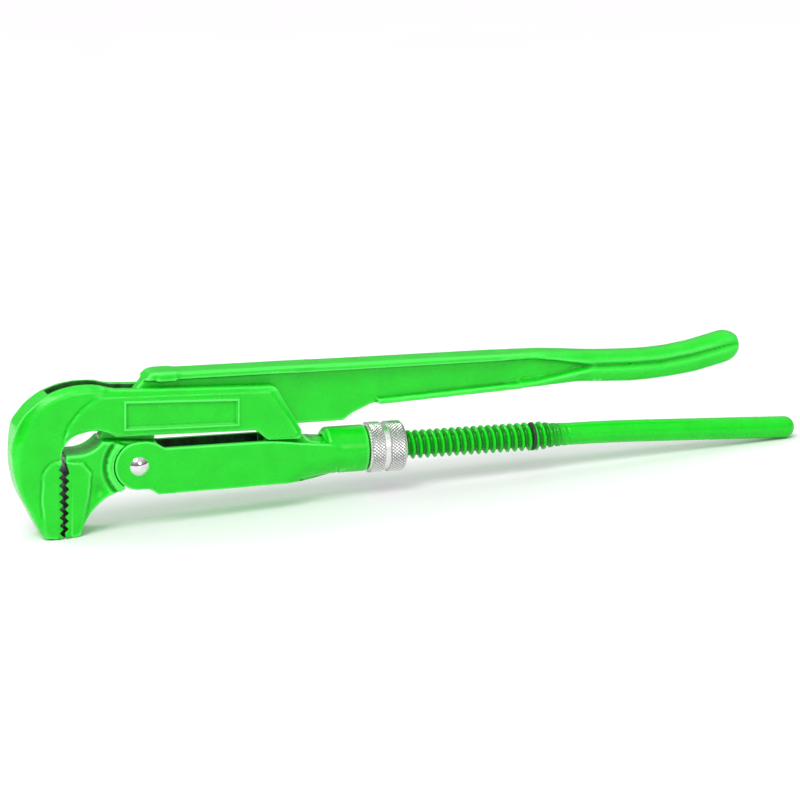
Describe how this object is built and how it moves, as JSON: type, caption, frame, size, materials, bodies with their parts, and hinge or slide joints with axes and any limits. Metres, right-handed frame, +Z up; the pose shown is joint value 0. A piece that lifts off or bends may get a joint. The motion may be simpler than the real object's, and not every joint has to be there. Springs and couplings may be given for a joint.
{
  "type": "pipe wrench",
  "caption": "Corner pipe wrench with toothed hook and inner jaws at 90 degrees, sliding frame and knurled adjusting nut on a threaded leg.",
  "frame": {"origin": "on the floor under the middle of the wrench, which stands on its jaw tips and the end of the lower handle", "axes": "+X from the jaws towards the handle ends, +Y across the jaws, +Z up"},
  "size_m": [0.3188, 0.0208, 0.0595],
  "materials": {
    "green_enamel": "gloss",
    "plated_steel": "knurled",
    "polished_steel": "polished",
    "spring_steel": "drawn wire",
    "black_rubber": "matt"
  },
  "bodies": {
    "hook_jaw": {"hook_jaw_leg": "green_enamel", "stop_o_ring": "black_rubber"},
    "frame": {"frame": "green_enamel", "pivot_rivet": "polished_steel", "nut_retaining_ring": "spring_steel"},
    "nut": {"adjusting_nut": "plated_steel"},
    "inner_jaw": {"inner_jaw_leg": "green_enamel"}
  },
  "joints": [
    {"name": "frame_slide", "type": "slide", "parent": "hook_jaw", "child": "frame", "axis": [0.9981, 0, -0.0612], "range_m": [0, 0.038]},
    {"name": "nut_spin", "type": "hinge", "parent": "frame", "child": "nut", "pos_m": [-0.01403, 0, 0.01789], "axis": [0.9981, 0, -0.0612], "range_deg": [0, 4561]},
    {"name": "jaw_pivot", "type": "hinge", "parent": "frame", "child": "inner_jaw", "pos_m": [-0.11181, 0, 0.02459], "axis": [0, -1, 0], "range_deg": [0, 14]}
  ],
  "couplings": [
    {"joint": "nut_spin", "follows": "frame_slide", "rad_per_m": 2094.4}
  ]
}
